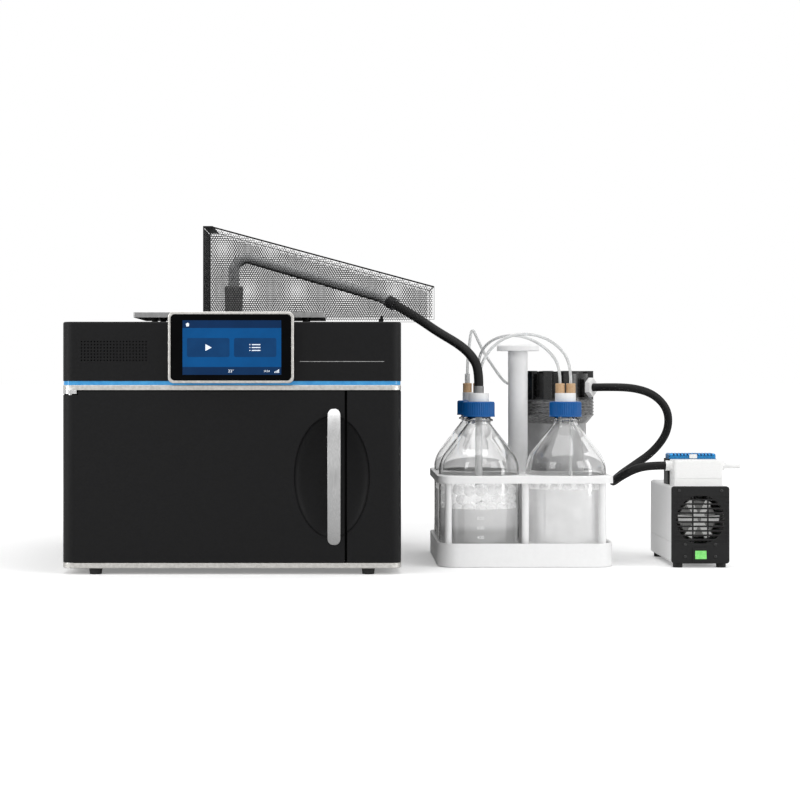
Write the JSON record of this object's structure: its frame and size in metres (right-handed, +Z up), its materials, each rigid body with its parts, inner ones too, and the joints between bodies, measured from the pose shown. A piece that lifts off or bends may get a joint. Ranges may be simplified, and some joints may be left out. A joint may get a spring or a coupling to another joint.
{
  "type": "sulfated ashing system",
  "caption": "Muffle furnace with swing door and guarded exhaust tube, a carrier of absorber bottles with a filter, and a diaphragm pump, joined by hoses.",
  "frame": {"origin": "on the bench, under the middle of the set's outline", "axes": "+X along the bench from the furnace to the pump, +Y from the front to the back, +Z up"},
  "size_m": [1.115, 0.6192, 0.5771],
  "materials": {
    "casing_black": "fine textured powder coat",
    "satin_aluminium": "satin anodised",
    "accent_blue": "translucent strip",
    "display_black": "glossy glass face",
    "foot_rubber": "matt",
    "bright_steel": "polished",
    "cavity_steel": "brushed stainless",
    "ceramic_fibre": "matt fibre board",
    "carbide": "sintered",
    "handle_aluminium": "brushed",
    "guard_black": "perforated, powder coated",
    "quartz": "clear fused quartz",
    "black_plastic": "moulded",
    "carrier_white": "machined polypropylene",
    "bottle_glass": "clear borosilicate",
    "cap_blue": "moulded polypropylene",
    "insert_white": "machined PTFE",
    "nut_tan": "machined PEEK",
    "tube_clear": "translucent PTFE",
    "coupling_grey": "knurled",
    "hose_black": "matt",
    "filter_black": "moulded",
    "bowl_smoke": "smoke clear moulded",
    "cartridge_grey": "pleated medium",
    "pump_grey": "moulded",
    "pump_dark": "moulded",
    "pump_white": "machined PTFE",
    "clamp_blue": "anodised",
    "motor_metal": "cast",
    "rocker_green": "lit, translucent"
  },
  "bodies": {
    "station": {"furnace_base_plate": "satin_aluminium", "rubber_feet": "foot_rubber", "lower_case": "casing_black", "right_front_panel": "casing_black", "mid_band": "satin_aluminium", "blue_stripe": "accent_blue", "upper_case": "casing_black", "display_housing": "satin_aluminium", "display_glass": "display_black", "rear_panel": "casing_black", "power_inlet": "black_plastic", "cavity_shell": "cavity_steel", "muffle_block": "ceramic_fibre", "heating_elements": "carbide", "thermocouple": "bright_steel", "crucible_shelf": "quartz", "magnetrons": "cavity_steel", "exhaust_collar": "guard_black", "quartz_tube": "quartz", "guard_cage": "guard_black", "rest_plate": "satin_aluminium", "plate_standoffs": "black_plastic", "hinge_pins": "bright_steel", "exhaust_hose": "hose_black", "hose_couplings": "coupling_grey", "carrier_tray": "carrier_white", "carrier_ring": "carrier_white", "carrier_rods": "carrier_white", "carrier_handle": "carrier_white", "bottle_front_left": "bottle_glass", "bottle_front_right": "bottle_glass", "bottle_back_left": "bottle_glass", "cap_inserts": "insert_white", "tube_nuts": "nut_tan", "dip_tubes": "tube_clear", "transfer_tube_a": "tube_clear", "transfer_tube_b": "tube_clear", "transfer_tube_c": "tube_clear", "filter_head": "filter_black", "filter_bowl": "bowl_smoke", "filter_cartridge": "cartridge_grey", "hose_ports": "insert_white", "suction_hose": "hose_black", "pump_case": "pump_grey", "pump_front_panel": "pump_dark", "pump_motor": "motor_metal", "pump_head": "pump_white", "pump_flange": "pump_dark", "pump_clamp": "clamp_blue"},
    "door": {"door_shell": "casing_black", "door_choke": "cavity_steel", "door_plug": "ceramic_fibre", "door_handle": "handle_aluminium"},
    "rear_fan_wheel": {"rear_fan": "black_plastic"},
    "pump_fan_wheel": {"pump_fan": "black_plastic"},
    "mains_rocker": {"power_rocker": "black_plastic"},
    "pump_switch_rocker": {"pump_rocker": "rocker_green"},
    "front_left_cap": {"cap_front_left": "cap_blue"},
    "front_right_cap": {"cap_front_right": "cap_blue"},
    "back_left_cap": {"cap_back_left": "cap_blue"}
  },
  "joints": [
    {"name": "door_swing", "type": "hinge", "parent": "station", "child": "door", "pos_m": [-0.5445, -0.258, 0.1565], "axis": [0, 0, -1], "range_deg": [0, 110]},
    {"name": "rear_fan_spin", "type": "hinge", "parent": "station", "child": "rear_fan_wheel", "pos_m": [-0.1495, 0.28495, 0.167], "axis": [0, 1, 0], "continuous": true},
    {"name": "pump_fan_spin", "type": "hinge", "parent": "station", "child": "pump_fan_wheel", "pos_m": [0.486, -0.156, 0.0796], "axis": [0, 1, 0], "continuous": true},
    {"name": "mains_rocker_tilt", "type": "hinge", "parent": "station", "child": "mains_rocker", "pos_m": [-0.40483, 0.30855, 0.0765], "axis": [-1, 0, 0], "range_deg": [0, 14]},
    {"name": "pump_rocker_tilt", "type": "hinge", "parent": "station", "child": "pump_switch_rocker", "pos_m": [0.486, -0.1686, 0.0215], "axis": [1, 0, 0], "range_deg": [0, 14]},
    {"name": "front_left_cap_turn", "type": "hinge", "parent": "station", "child": "front_left_cap", "pos_m": [0.1235, -0.097, 0.2619], "axis": [0, 0, 1], "continuous": true},
    {"name": "front_right_cap_turn", "type": "hinge", "parent": "station", "child": "front_right_cap", "pos_m": [0.2705, -0.097, 0.2619], "axis": [0, 0, 1], "continuous": true},
    {"name": "back_left_cap_turn", "type": "hinge", "parent": "station", "child": "back_left_cap", "pos_m": [0.1235, 0.05, 0.2619], "axis": [0, 0, 1], "continuous": true}
  ]
}
